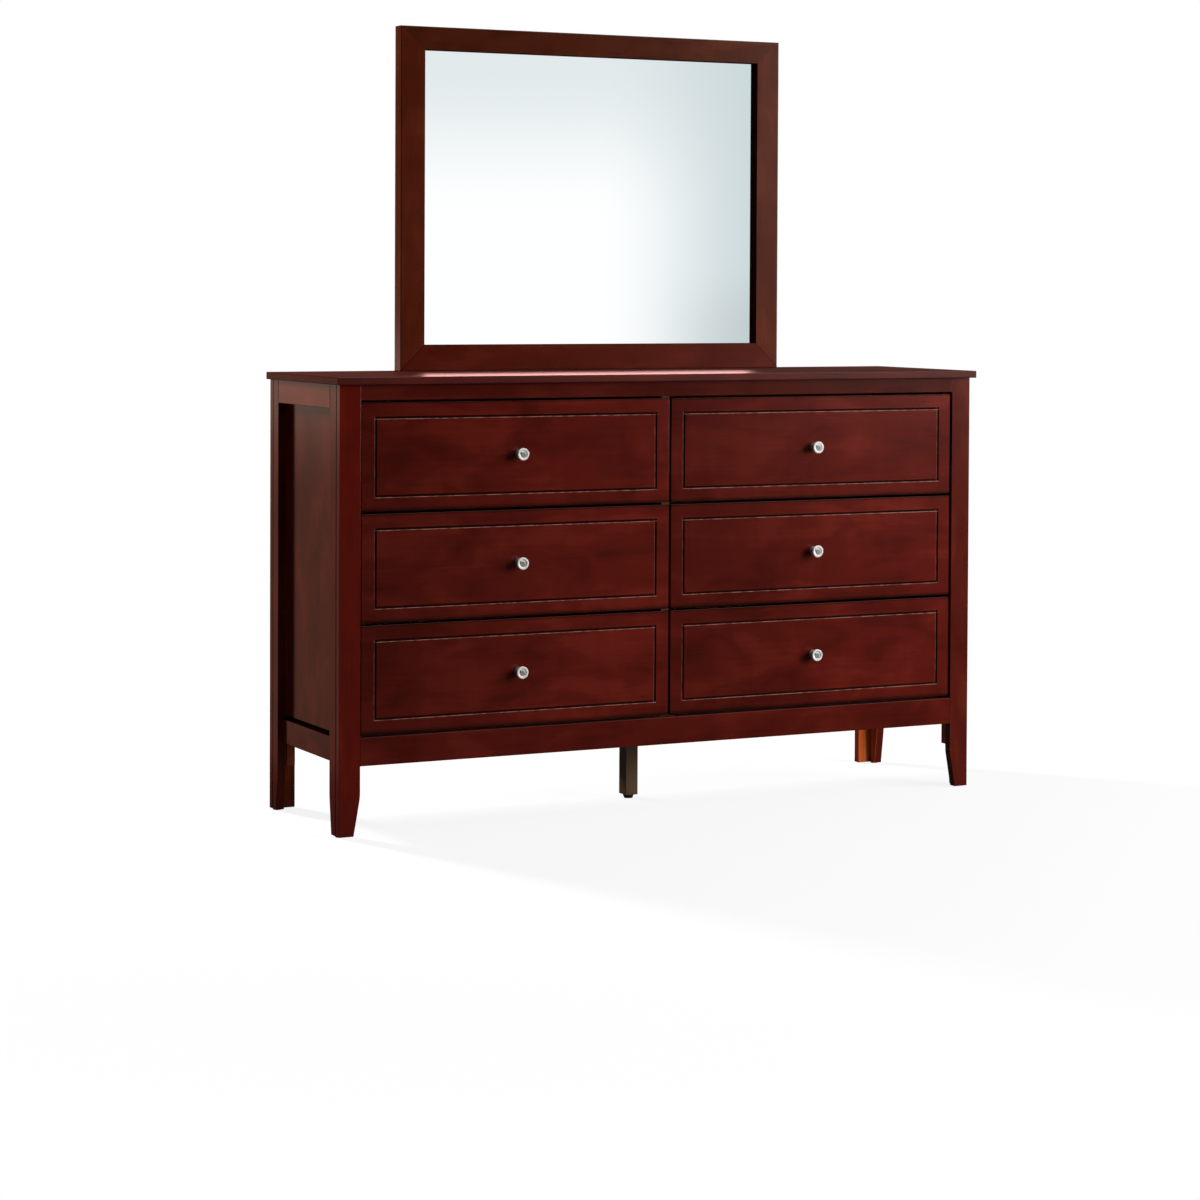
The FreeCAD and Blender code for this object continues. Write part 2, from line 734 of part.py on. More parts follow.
def write_nodes():
    """Check every object and write one STEP file per node."""
    document.recompute()
    for thing in document.Objects:
        if "Invalid" in thing.State or "Error" in thing.State:
            raise RuntimeError(f"{thing.Label} failed: {thing.State}")
    os.makedirs("parts", exist_ok=True)
    for node in NODES:
        shape = node.Shape
        if shape.isNull() or not shape.isValid():
            raise RuntimeError(f"{node.Label} has no valid shape")
        shape.exportStep(f"parts/{node.Label}.step")
        print(node.Label, len(shape.Solids), round(shape.Volume))
    print(len(NODES), "nodes")


make_top()
make_legs()
make_sides()
make_front_frame()
make_back()
make_inside()
make_centre_leg()
make_glides()
make_runners()
for row, row_name in enumerate(("bottom", "middle", "top")):
    for side in ("left", "right"):
        make_drawer(row, row_name, side)
make_mirror()
make_supports()
write_nodes()
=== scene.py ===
# %% [markdown]
# # A six-drawer dresser with a standing mirror
# The real piece is a low chest of drawers in dark red stained wood under a semi-gloss lacquer. A framed
# mirror stands on the back of its top. Every board, knob and screw already exists as a solid, so this
# lesson is mostly about finishes: what makes stained wood look like wood, and how a studio lights it. The
# studio's floor and two strips behind the apron are the only shapes made here.

# %% Load the boards
import bmesh
import bpy
import math
from mathutils import Matrix, Vector


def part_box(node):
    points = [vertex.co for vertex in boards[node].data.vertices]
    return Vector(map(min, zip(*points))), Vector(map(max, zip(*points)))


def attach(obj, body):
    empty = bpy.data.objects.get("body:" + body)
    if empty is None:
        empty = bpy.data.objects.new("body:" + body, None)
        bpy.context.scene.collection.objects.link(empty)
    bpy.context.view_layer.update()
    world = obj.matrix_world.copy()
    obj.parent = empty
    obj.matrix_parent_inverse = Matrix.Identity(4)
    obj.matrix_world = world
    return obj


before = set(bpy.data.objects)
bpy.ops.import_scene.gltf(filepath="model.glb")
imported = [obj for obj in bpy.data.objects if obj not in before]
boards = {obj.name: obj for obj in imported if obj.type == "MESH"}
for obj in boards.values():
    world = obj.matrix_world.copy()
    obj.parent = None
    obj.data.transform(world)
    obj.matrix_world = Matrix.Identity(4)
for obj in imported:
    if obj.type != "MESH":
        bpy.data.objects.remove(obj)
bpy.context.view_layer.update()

# %% [markdown]
# ## Camera
# The camera stands to the left of the dresser, a little above its top, and uses a long lens. Its place and
# its angles were solved from the corners of the real piece. The lens is shifted down a little, as a view
# camera's is, so that upright edges stay nearly upright.

# %% Camera
PHOTO_SIDE = 1200
FOCAL_LENGTH_PIXELS = 3012.7
SENSOR_WIDTH = 36.0
LENS_SHIFT_DOWN = 0.20
CAMERA_PLACE = Vector((-2.899, -5.624, 1.079))
CAMERA_ANGLES = (26.720, -1.428, 0.261)
yaw, pitch, roll = (math.radians(degrees) for degrees in CAMERA_ANGLES)

ahead = Vector((math.sin(yaw) * math.cos(pitch), math.cos(yaw) * math.cos(pitch), math.sin(pitch)))
level_right = Vector((math.cos(yaw), -math.sin(yaw), 0))
level_up = level_right.cross(ahead)
right = level_right * math.cos(roll) + level_up * math.sin(roll)
up = level_up * math.cos(roll) - level_right * math.sin(roll)

lens = bpy.data.cameras.new("Lens")
lens.sensor_width = SENSOR_WIDTH
lens.lens = FOCAL_LENGTH_PIXELS / PHOTO_SIDE * SENSOR_WIDTH
lens.shift_y = -LENS_SHIFT_DOWN
camera = bpy.data.objects.new("Camera", lens)
camera.matrix_world = Matrix.Translation(CAMERA_PLACE) @ Matrix((right, up, -ahead)).transposed().to_4x4()
scene = bpy.context.scene
scene.collection.objects.link(camera)
scene.camera = camera
scene.view_settings.view_transform = "Standard"
print("lens", round(lens.lens, 2), "mm")

# %% [markdown]
# ## Small tools for shader nodes
# A material is a graph of nodes. A few helpers keep the graphs short: one fills a socket with a value or a
# link, one adds a node, one does sums, one maps a value from one range to another with soft ends, and two
# mix and darken colours. A Mix node has sockets for numbers, vectors and colours, so the colour ones are
# picked by their place.


# %% Node helpers
MIX_SHARE, MIX_FIRST, MIX_SECOND, MIX_RESULT = 0, 6, 7, 2


def give(tree, socket, value):
    """Fill a socket with a value, or with a link if the value is a socket too."""
    if isinstance(value, bpy.types.NodeSocket):
        tree.links.new(value, socket)
    else:
        socket.default_value = value


def put(tree, kind, inputs=None, **settings):
    """Add a shader node, set its options, and fill each named input."""
    made = tree.nodes.new("ShaderNode" + kind)
    for name, value in settings.items():
        setattr(made, name, value)
    for name, value in (inputs or {}).items():
        give(tree, made.inputs[name], value)
    return made


def sums(tree, operation, *values):
    """One sum on values or sockets."""
    made = put(tree, "Math", operation=operation)
    for socket, value in zip(made.inputs, values):
        give(tree, socket, value)
    return made.outputs[0]


def rise(tree, value, low, high, bottom=0.0, top=1.0):
    """A value that climbs softly from bottom to top while the input goes from low to high."""
    made = put(tree, "MapRange", {"Value": value, "From Min": low, "From Max": high,
                                  "To Min": bottom, "To Max": top}, interpolation_type="SMOOTHSTEP")
    return made.outputs["Result"]


def mixed(tree, share, first, second, mode="MIX"):
    """Two colours mixed by a share."""
    made = put(tree, "Mix", data_type="RGBA", blend_type=mode)
    for place, value in ((MIX_SHARE, share), (MIX_FIRST, first), (MIX_SECOND, second)):
        give(tree, made.inputs[place], value)
    return made.outputs[MIX_RESULT]


def darkened(tree, colour, level):
    """A colour times a level. One leaves it as it is."""
    grey = put(tree, "CombineColor", {"Red": level, "Green": level, "Blue": level})
    return mixed(tree, 1.0, colour, grey.outputs[0], "MULTIPLY")


def split(tree, vector):
    """The X, Y and Z of a vector."""
    return put(tree, "SeparateXYZ", {"Vector": vector}).outputs


# %% Group and colour helpers
def new_group(name, inputs, outputs):
    """A node group with named sockets. Returns its tree, its inputs and the node that takes its outputs."""
    tree = bpy.data.node_groups.new(name, "ShaderNodeTree")
    for title, kind, value in inputs:
        socket = tree.interface.new_socket(title, in_out="INPUT", socket_type="NodeSocket" + kind)
        socket.default_value = value
    for title, kind in outputs:
        tree.interface.new_socket(title, in_out="OUTPUT", socket_type="NodeSocket" + kind)
    return tree, tree.nodes.new("NodeGroupInput").outputs, tree.nodes.new("NodeGroupOutput")


def use_group(tree, group, inputs):
    """Place a node group in a tree."""
    made = tree.nodes.new("ShaderNodeGroup")
    made.node_tree = group
    for name, value in inputs.items():
        give(tree, made.inputs[name], value)
    return made.outputs


def deliver(tree, target, values):
    """Link sockets to the named outputs of a group."""
    for name, socket in values.items():
        tree.links.new(socket, target.inputs[name])


def linear(red, green, blue):
    """A colour as a paint chart gives it, 0 to 255, as the linear colour a shader wants."""
    def unpack(level):
        level = level / 255
        return level / 12.92 if level <= 0.04045 else ((level + 0.055) / 1.055) ** 2.4
    return (unpack(red), unpack(green), unpack(blue), 1.0)


# %% [markdown]
# ## Studio
# The real piece was shot against white. What its lacquer reflects is another matter: a dark room with a
# pale wall and a bright window far to the right, a low warm strip of wall behind on the left, and a pale
# ceiling. The world therefore answers each kind of ray in its own way. Each part of the room is a colour
# and the range of directions over which it fades in. Sideways is how far a ray goes to the right for each
# metre it goes forward of the dresser, and height is how steeply it climbs.

# %% Ray directions
world = bpy.data.worlds.new("Studio")
scene.world = world
world.use_nodes = True
studio = world.node_tree
studio.nodes.clear()
LEAST_FORWARD = 0.05
ray = put(studio, "LightPath").outputs
looking = split(studio, put(studio, "TexCoord").outputs["Generated"])
forward = sums(studio, "MULTIPLY", looking["Y"], -1.0)
sideways = sums(studio, "DIVIDE", looking["X"], sums(studio, "MAXIMUM", forward, LEAST_FORWARD))
height = looking["Z"]

# %% What the lacquer sees
DARK_ROOM = (0.006, 0.004, 0.003, 1.0)
BROWN_BACK = (0.10, 0.042, 0.028, 1.0)
RIGHT_LOW = (0.07, 0.06, 0.05, 1.0)
RIGHT_WALL = (0.52, 0.52, 0.45, 1.0)
RIGHT_HIGH = (1.10, 1.12, 0.96, 1.0)
RIGHT_WINDOW = (4.5, 4.5, 4.3, 1.0)
LEFT_LOW = (0.15, 0.115, 0.078, 1.0)
LEFT_WALL = (0.98, 0.67, 0.53, 1.0)
LEFT_HIGH = (0.05, 0.04, 0.02, 1.0)
CEILING = (1.2, 1.2, 1.15, 1.0)
FRONT_HALF = (0.02, 0.10)
RIGHT_CORNER = (0.560, 0.62)
RIGHT_WALL_FOOT, RIGHT_WALL_MIDDLE = (-0.050, 0.004), (-0.012, 0.006)
WINDOW_SIDE, WINDOW_TOP = (0.80, 1.05), (0.30, 0.15)
LEFT_CORNER, LEFT_REAR = (-0.22, -0.32), (0.4, 0.8)
LEFT_WALL_FOOT, LEFT_WALL_TOP = (-0.058, -0.030), (-0.028, -0.012)
CEILING_EDGE = (0.60, 0.80)

is_front = rise(studio, forward, *FRONT_HALF)
gloss = mixed(studio, is_front, BROWN_BACK, DARK_ROOM)
right_wall = mixed(studio, rise(studio, height, *RIGHT_WALL_FOOT), RIGHT_LOW, RIGHT_WALL)
right_wall = mixed(studio, rise(studio, height, *RIGHT_WALL_MIDDLE), right_wall, RIGHT_HIGH)
window_share = sums(studio, "MULTIPLY", rise(studio, sideways, *WINDOW_SIDE),
                    rise(studio, height, *WINDOW_TOP))
right_wall = mixed(studio, window_share, right_wall, RIGHT_WINDOW)
right_share = sums(studio, "MULTIPLY", rise(studio, sideways, *RIGHT_CORNER), is_front)
gloss = mixed(studio, right_share, gloss, right_wall)
left_wall = mixed(studio, rise(studio, height, *LEFT_WALL_FOOT), LEFT_LOW, LEFT_WALL)
left_wall = mixed(studio, rise(studio, height, *LEFT_WALL_TOP), left_wall, LEFT_HIGH)
left_share = sums(studio, "MULTIPLY", rise(studio, looking["X"], *LEFT_CORNER),
                  rise(studio, looking["Y"], *LEFT_REAR))
gloss = mixed(studio, left_share, gloss, left_wall)
gloss = mixed(studio, rise(studio, height, *CEILING_EDGE), gloss, CEILING)
print("world nodes for the lacquer", len(studio.nodes))

# %% [markdown]
# ## What the mirror sees
# The mirror looks out at a pale studio that falls into blue-grey shade to the right and towards the top.
# The shade on the right is deepest low down. Rays that reach the mirror by way of the lacquered top have
# bounced twice. They find a low pink glow instead, and it draws a pink band on the top along the mirror.

# %% What the mirror sees
MIRROR_PALE = (1.03, 1.03, 1.03, 1.0)
MIRROR_SHADE = (0.625, 0.705, 0.72, 1.0)
MIRROR_PINK = (8.4, 3.6, 3.3, 1.0)
NOTHING = (0.0, 0.0, 0.0, 1.0)
SHADE_SIDE = (0.500, 0.575)
SHADE_TOP, SHADE_TOP_SHARE = (0.02, 0.075), 0.60
SHADE_LOW, SHADE_LOW_LEVEL = (0.016, -0.020), 0.88
PINK_FOOT, PINK_TOP = (0.03, 0.12), (0.22, 0.40)
SECOND_BOUNCE = 1.5

shade_side = rise(studio, sideways, *SHADE_SIDE)
shade_top = rise(studio, height, *SHADE_TOP, top=SHADE_TOP_SHARE)
lit_share = sums(studio, "MULTIPLY", sums(studio, "SUBTRACT", 1.0, shade_side),
                 sums(studio, "SUBTRACT", 1.0, shade_top))
first_view = mixed(studio, lit_share, MIRROR_SHADE, MIRROR_PALE)
low_shade = sums(studio, "MULTIPLY", shade_side, rise(studio, height, *SHADE_LOW))
first_view = darkened(studio, first_view, rise(studio, low_shade, 0.0, 1.0, 1.0, SHADE_LOW_LEVEL))
second_view = mixed(studio, rise(studio, height, *PINK_FOOT), NOTHING, MIRROR_PINK)
second_view = mixed(studio, rise(studio, height, *PINK_TOP), second_view, MIRROR_SHADE)
is_second = sums(studio, "GREATER_THAN", ray["Glossy Depth"], SECOND_BOUNCE)
mirror_view = mixed(studio, is_second, first_view, second_view)
print("world nodes with the mirror", len(studio.nodes))

# %% [markdown]
# ## Soft light
# Matt surfaces get a low even light from the right and from above, and almost none from the left, so the
# left side of the case stays dark. The camera itself sees plain white.

# %% Soft light and background
AMBIENT_LEVEL, AMBIENT_DARK = 0.28, 0.03
DARK_SIDE, DARK_TOP = (0.30, 0.05), (0.75, 0.45)
WHITE = (1.0, 1.0, 1.0, 1.0)

dark_share = sums(studio, "MULTIPLY", rise(studio, looking["X"], *DARK_SIDE),
                  rise(studio, height, *DARK_TOP))
ambient = rise(studio, dark_share, 0.0, 1.0, AMBIENT_LEVEL, AMBIENT_DARK)
answer = mixed(studio, ray["Is Glossy Ray"], ambient, gloss)
answer = mixed(studio, ray["Is Singular Ray"], answer, mirror_view)
answer = mixed(studio, ray["Is Camera Ray"], answer, WHITE)
sky = put(studio, "Background", {"Color": answer, "Strength": 1.0})
put(studio, "OutputWorld", {"Surface": sky.outputs["Background"]})
print("world nodes", len(studio.nodes))

# %% [markdown]
# ## Floor
# The floor is a wide pale disc. Near the dresser a small share of it is matt paint, so that it takes a soft
# shadow, and the rest glows white. Further out only the glow is left, and it runs into the white of the
# background. Lacquer and soft light see a darker floor, which keeps the underside of the case dark.

# %% Floor
FLOOR_RADIUS = 12.0
FLOOR_SIDES = 96
floor_mesh = bmesh.new()
bmesh.ops.create_circle(floor_mesh, cap_ends=True, radius=FLOOR_RADIUS, segments=FLOOR_SIDES)
floor_data = bpy.data.meshes.new("studio_floor")
floor_mesh.to_mesh(floor_data)
floor_mesh.free()
floor = bpy.data.objects.new("studio_floor", floor_data)
scene.collection.objects.link(floor)
print("floor radius", FLOOR_RADIUS, "m")

# %% Floor paint
FLOOR_SEEN = (0.9, 0.9, 0.9, 1)
FLOOR_UNSEEN = (0.15, 0.15, 0.15, 1)
FLOOR_SHEEN = (0.04, 0.034, 0.028, 1)
FLOOR_REAR_SHEEN = (0.13, 0.115, 0.08, 1)
REAR_LEFT_X, REAR_LEFT_Y = (-0.8, -1.2), (0.2, 0.6)
GLOW_REACH, GLOW_NEAR = (0.9, 3.0), 0.86

floor_paint = bpy.data.materials.new("floor_paint")
floor_paint.use_nodes = True
tree = floor_paint.node_tree
tree.nodes.clear()
ray = put(tree, "LightPath").outputs
seen = sums(tree, "MAXIMUM", ray["Is Camera Ray"], ray["Is Singular Ray"])
place = put(tree, "TexCoord").outputs["Object"]
away = put(tree, "VectorMath", {0: place}, operation="LENGTH").outputs["Value"]
here = split(tree, place)
matt = put(tree, "BsdfDiffuse", {"Color": mixed(tree, seen, FLOOR_UNSEEN, FLOOR_SEEN)})
rear_left = sums(tree, "MULTIPLY", rise(tree, here["X"], *REAR_LEFT_X),
                 rise(tree, here["Y"], *REAR_LEFT_Y))
sheen = mixed(tree, rear_left, FLOOR_SHEEN, FLOOR_REAR_SHEEN)
glow = put(tree, "Emission", {"Color": mixed(tree, seen, sheen, WHITE), "Strength": 1.0})
glow_share = sums(tree, "MULTIPLY", rise(tree, away, *GLOW_REACH, bottom=GLOW_NEAR), seen)
glow_share = sums(tree, "MAXIMUM", glow_share, ray["Is Glossy Ray"])
surface = put(tree, "MixShader", {"Fac": glow_share})
tree.links.new(matt.outputs[0], surface.inputs[1])
tree.links.new(glow.outputs[0], surface.inputs[2])
put(tree, "OutputMaterial", {"Surface": surface.outputs[0]})
floor_data.materials.append(floor_paint)
print("floor paint nodes", len(tree.nodes))

# %% [markdown]
# ## Lamps
# Two soft boxes do the work. A large one in front and to the right brightens the right-hand drawers more
# than the left-hand ones. A second one stands behind on the left and grazes the left side and the back.
# Neither shows itself: the camera, the lacquer and the mirror all look past them.


# %% Lamps
def soft_box(name, place, aim, width, height, power):
    """A rectangular lamp that only matt surfaces see."""
    lamp = bpy.data.lights.new(name, "AREA")
    lamp.shape = "RECTANGLE"
    lamp.size, lamp.size_y = width, height
    lamp.energy = power
    lamp.use_nodes = True
    tree = lamp.node_tree
    tree.nodes.clear()
    ray = put(tree, "LightPath").outputs
    hidden = sums(tree, "MAXIMUM", ray["Is Camera Ray"], ray["Is Singular Ray"])
    glow = put(tree, "Emission", {"Strength": sums(tree, "SUBTRACT", 1.0, hidden)})
    put(tree, "OutputLight", {"Surface": glow.outputs["Emission"]})
    holder = bpy.data.objects.new(name, lamp)
    place, aim = Vector(place), Vector(aim)
    turn = (place - aim).to_track_quat("Z", "Y").to_matrix().to_4x4()
    holder.matrix_world = Matrix.Translation(place) @ turn
    holder.visible_glossy = False
    scene.collection.objects.link(holder)


soft_box("front_soft_box", place=(3.2, -3.0, 1.6), aim=(0.0, 0.0, 0.55), width=3.2, height=2.4, power=268)
soft_box("left_soft_box", place=(-1.9, 3.5, 2.2), aim=(-0.73, 0.0, 0.6), width=0.5, height=1.0, power=350)
print("lamps", len(bpy.data.lights))

# %% [markdown]
# ## Wood grain
# Wood is a bundle of fibres, so every pattern in it is long one way and thin the other. The group draws
# out three noises along the board, a broad figure, narrow streaks and fine pores, and lays a faint ripple
# across them. It runs along its vector's X, and each board turns that vector to lie along itself.

# %% Wood grain group
NOISE_ROUGHNESS = 0.55
# marks in a metre along and across, detail, distortion and turn of each noise
MARKS = {"Figure": (6.0, 13.0, 2.5, 0.6, 0.0), "Streak": (5.0, 130.0, 4.0, 0.3, 0.0),
         "Pore": (28.0, 1500.0, 2.0, 0.0, 0.0), "Ripple": (30.0, 5.0, 2.0, 0.4, 0.45)}
# where each mark starts to show and where it is full
MARK_LIMITS = {"Figure": (0.3, 0.7), "Streak": (0.3, 0.7), "Pore": (0.58, 0.74), "Ripple": (0.35, 0.65)}


def stretched_noise(tree, vector, along, across, detail, distortion, turn):
    """Noise drawn out along X."""
    laid = put(tree, "Mapping", {"Vector": vector, "Rotation": (0, turn, turn),
                                 "Scale": (along, across, across)})
    noise = put(tree, "TexNoise", {"Vector": laid.outputs["Vector"], "Scale": 1.0, "Detail": detail,
                                   "Roughness": NOISE_ROUGHNESS, "Distortion": distortion})
    return noise.outputs["Fac"]


grain, given, taken = new_group("Wood grain", [("Vector", "Vector", (0, 0, 0))],
                                [(name, "Float") for name in MARKS])
for name, shape in MARKS.items():
    noise = stretched_noise(grain, given["Vector"], *shape)
    deliver(grain, taken, {name: rise(grain, noise, *MARK_LIMITS[name])})
print("grain group nodes", len(grain.nodes))

# %% [markdown]
# ## Stain
# Stain sinks in unevenly: open wood drinks more and goes dark, dense wood stays lighter. The group turns
# the four marks into one tone between dark, middle and light, and puts out a colour, a roughness and a
# height. Cloud is the share of broad figure in the tone, and the straight streaks take what is left:
# stained boards look cloudy, plain ones striped.

# %% Stain group
STAIN_CLOUD = 0.74
RIPPLE_SHARE = 0.10
MIDDLE_TONE = 0.5
DARK_END, LIGHT_END = 0.05, 0.95
PORE_DARK = (0.012, 0.004, 0.003, 1)
WOOD_ROUGHNESS, STREAK_ROUGHNESS = 0.40, 0.10
STREAK_HEIGHT = 0.3

stain, given, taken = new_group(
    "Stain on wood",
    [("Vector", "Vector", (0, 0, 0)), ("Dark", "Color", (0, 0, 0, 1)), ("Middle", "Color", (0, 0, 0, 1)),
     ("Light", "Color", (0, 0, 0, 1)), ("Contrast", "Float", 1.0), ("Pore Strength", "Float", 0.5),
     ("Cloud", "Float", STAIN_CLOUD)],
    [("Color", "Color"), ("Roughness", "Float"), ("Height", "Float")])
marks = use_group(stain, grain, {"Vector": given["Vector"]})
streak_share = sums(stain, "SUBTRACT", 1.0 - RIPPLE_SHARE, given["Cloud"])
tone = sums(stain, "ADD", sums(stain, "MULTIPLY", marks["Figure"], given["Cloud"]),
            sums(stain, "MULTIPLY", marks["Streak"], streak_share))
tone = sums(stain, "ADD", tone, sums(stain, "MULTIPLY", marks["Ripple"], RIPPLE_SHARE))
swing = sums(stain, "MULTIPLY", sums(stain, "SUBTRACT", tone, MIDDLE_TONE), given["Contrast"])
tone = sums(stain, "ADD", MIDDLE_TONE, swing)
colour = mixed(stain, rise(stain, tone, DARK_END, MIDDLE_TONE), given["Dark"], given["Middle"])
colour = mixed(stain, rise(stain, tone, MIDDLE_TONE, LIGHT_END), colour, given["Light"])
pore_share = sums(stain, "MULTIPLY", marks["Pore"], given["Pore Strength"])
colour = mixed(stain, pore_share, colour, PORE_DARK)
rough = sums(stain, "ADD", WOOD_ROUGHNESS, sums(stain, "MULTIPLY", marks["Streak"], STREAK_ROUGHNESS))
relief_height = sums(stain, "SUBTRACT", sums(stain, "MULTIPLY", marks["Streak"], STREAK_HEIGHT), pore_share)
deliver(stain, taken, {"Color": colour, "Roughness": rough, "Height": relief_height})
print("stain group nodes", len(stain.nodes))

# %% [markdown]
# ## Grain direction
# A joiner lays the grain along each board. Rails and drawer fronts run left to right, posts and side panels
# run upwards, and side rails run front to back. A Mapping node turns each board's own coordinates so that
# the pattern's X lies along the board, and slides them so that no two boards show the same mark.

# %% Board coordinates
TURNS = {"x": (0.0, 0.0, 0.0), "y": (0.0, 0.0, math.pi / 2), "z": (0.0, math.pi / 2, 0.0)}
SLIDE_SHARES = (1.0, 0.7, 0.3)


def along_board(tree, direction, slide=0.0):
    """Object coordinates turned so that X lies along the board."""
    place = put(tree, "TexCoord").outputs["Object"]
    moved = tuple(slide * share for share in SLIDE_SHARES)
    return put(tree, "Mapping", {"Vector": place, "Rotation": TURNS[direction],
                                 "Location": moved}).outputs["Vector"]


def new_finish(name):
    """A material with a Principled shader only. Returns the material, its tree and the shader."""
    finish = bpy.data.materials.new(name)
    finish.use_nodes = True
    tree = finish.node_tree
    return finish, tree, tree.nodes["Principled BSDF"]


def feed(tree, shader, values):
    """Give a shader's named inputs a value or a link."""
    for name, value in values.items():
        give(tree, shader.inputs[name], value)


# %% [markdown]
# ## Tones of wood
# One tin of stain gives every board its own tone, because no two boards drink alike. Each tone is three
# colours: the dark and the light of the figure, and the middle between them. The front top rail's darker
# tone is painted shade under the top's overhang, and the side top rails' lighter tone is a painted sheen.
# The mirror's frame is browner than the case. Bare wood is orange inside the legs and paler behind the
# case.


# %% Wood tones
def shades(dark, middle, light):
    """Three tones of one wood, from its dark to its light figure."""
    return {"Dark": linear(*dark), "Middle": linear(*middle), "Light": linear(*light)}


CHERRY = shades((67, 15, 9), (80, 19, 12), (92, 26, 17))
CHERRY_TOP = shades((60, 13, 8), (70, 16, 10), (80, 21, 14))
# painted shade: a darker tone for the front top rail, as if it lay under the top's overhang
CHERRY_RAIL_SHADED = shades((58, 13, 7), (67, 16, 9), (77, 22, 14))
# painted sheen: a lighter tone for the side top rails
CHERRY_SIDE_RAIL_SHEEN = shades((88, 24, 16), (104, 33, 23), (118, 42, 31))
CHERRY_APRON = shades((66, 14, 8), (77, 18, 11), (87, 24, 16))
CHERRY_LEG = shades((70, 17, 11), (79, 20, 13), (90, 27, 18))
CHERRY_NEAR_LEG = shades((76, 14, 8), (85, 16, 9), (94, 22, 14))
CHERRY_FAR_LEG = shades((68, 17, 10), (77, 21, 13), (88, 28, 17))
CHERRY_BROWN = shades((70, 23, 8), (78, 28, 13), (88, 35, 18))
CHERRY_BROWN_TOP = shades((60, 20, 6), (68, 25, 10), (78, 31, 15))
CHERRY_BROWN_LOW = shades((70, 19, 8), (78, 23, 12), (88, 29, 17))
BARE = shades((134, 84, 48), (158, 103, 63), (178, 124, 80))
BARE_LEG = shades((162, 68, 28), (188, 86, 38), (208, 110, 58))
BOX_WOOD = shades((190, 150, 104), (212, 176, 130), (228, 198, 156))
SHEET_WOOD = shades((124, 88, 60), (138, 101, 70), (152, 115, 83))
OLIVE = shades((74, 52, 35), (88, 64, 44), (100, 75, 54))
# painted shade: a near-black tone for the dust strips, so the gap under the drawers stays dark
STRIP_SHADE_TONE = shades((34, 22, 15), (42, 28, 20), (50, 35, 26))
# dark joint lines, and also painted shade in a band above a side's bottom rail and on that rail's top
JOINT_AND_SHADE_DARK = (0.0022, 0.0008, 0.0006, 1.0)
# painted shade: dark brown on the mirror frame's inner faces beside the glass
INNER_SHADE_BROWN = (0.045, 0.016, 0.011, 1.0)
# painted shade inside the groove round a drawer front
GROOVE_SHADE = linear(36, 8, 5)
# painted highlights on a groove's lower lip and on its left lip
LIP_HIGHLIGHT = linear(142, 106, 94)
LIP_SIDE_HIGHLIGHT = linear(104, 62, 54)

# %% [markdown]
# ## Joints, grooves and painted light
# Small marks tell that a piece was made from boards: the dark line where two boards meet, and faces
# inside a leg that nobody stained. Others are painted light: painted shade inside a groove, along a
# drawer front's edges and in narrow recesses, and a painted highlight on the lower and left lips of a
# groove. Each is a mask worked out from the place on the board, so it stays on the wood when a drawer
# moves.

# %% Lines and lips
SEAM_HALF, LEG_SEAM_HALF = 0.0006, 0.0016
LIP_NEAR, LIP_FAR = 0.0022, 0.0035


def within(tree, value, low, high):
    """One where a value lies between two limits, nothing elsewhere."""
    return sums(tree, "MULTIPLY", sums(tree, "GREATER_THAN", value, low),
                sums(tree, "LESS_THAN", value, high))


def distance(tree, value, target):
    """How far a value is from a target, either way."""
    return sums(tree, "ABSOLUTE", sums(tree, "SUBTRACT", value, target))


def seam_mask(tree, spot, across, offset, half):
    """A thin line along the plane across . (|x|, y, z) = offset."""
    folded = put(tree, "CombineXYZ", {"X": sums(tree, "ABSOLUTE", spot["X"]), "Y": spot["Y"],
                                      "Z": spot["Z"]})
    reach = put(tree, "VectorMath", {0: folded.outputs[0], 1: across}, operation="DOT_PRODUCT")
    return sums(tree, "LESS_THAN", distance(tree, reach.outputs["Value"], offset), half)


def lip_masks(tree, spot, middle, half):
    """The groove round a drawer front, and its lower and left lips that get a painted highlight."""
    def lip(axis, other):
        off = sums(tree, "SUBTRACT", spot["XYZ"[axis]], middle[axis])
        side = sums(tree, "MULTIPLY", sums(tree, "SIGN", off), half[axis])
        past = sums(tree, "SUBTRACT", off, side)
        along = distance(tree, spot["XYZ"[other]], middle[other])
        beside = sums(tree, "LESS_THAN", along, half[other] + LIP_NEAR)
        return (sums(tree, "MULTIPLY", within(tree, past, -LIP_FAR, -LIP_NEAR), beside),
                sums(tree, "MULTIPLY", within(tree, past, -LIP_NEAR, LIP_NEAR), beside))
    (lower, level_groove), (left, upright_groove) = lip(2, 0), lip(0, 2)
    return sums(tree, "MAXIMUM", level_groove, upright_groove), lower, left


# %% Bare faces of a leg
LEG_BOARD = 0.018
LEG_INNER_PLANE = -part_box("left_side_panel")[0].x
LEG_OUTSIDE = 0.7200
BARE_BAND = 0.0008


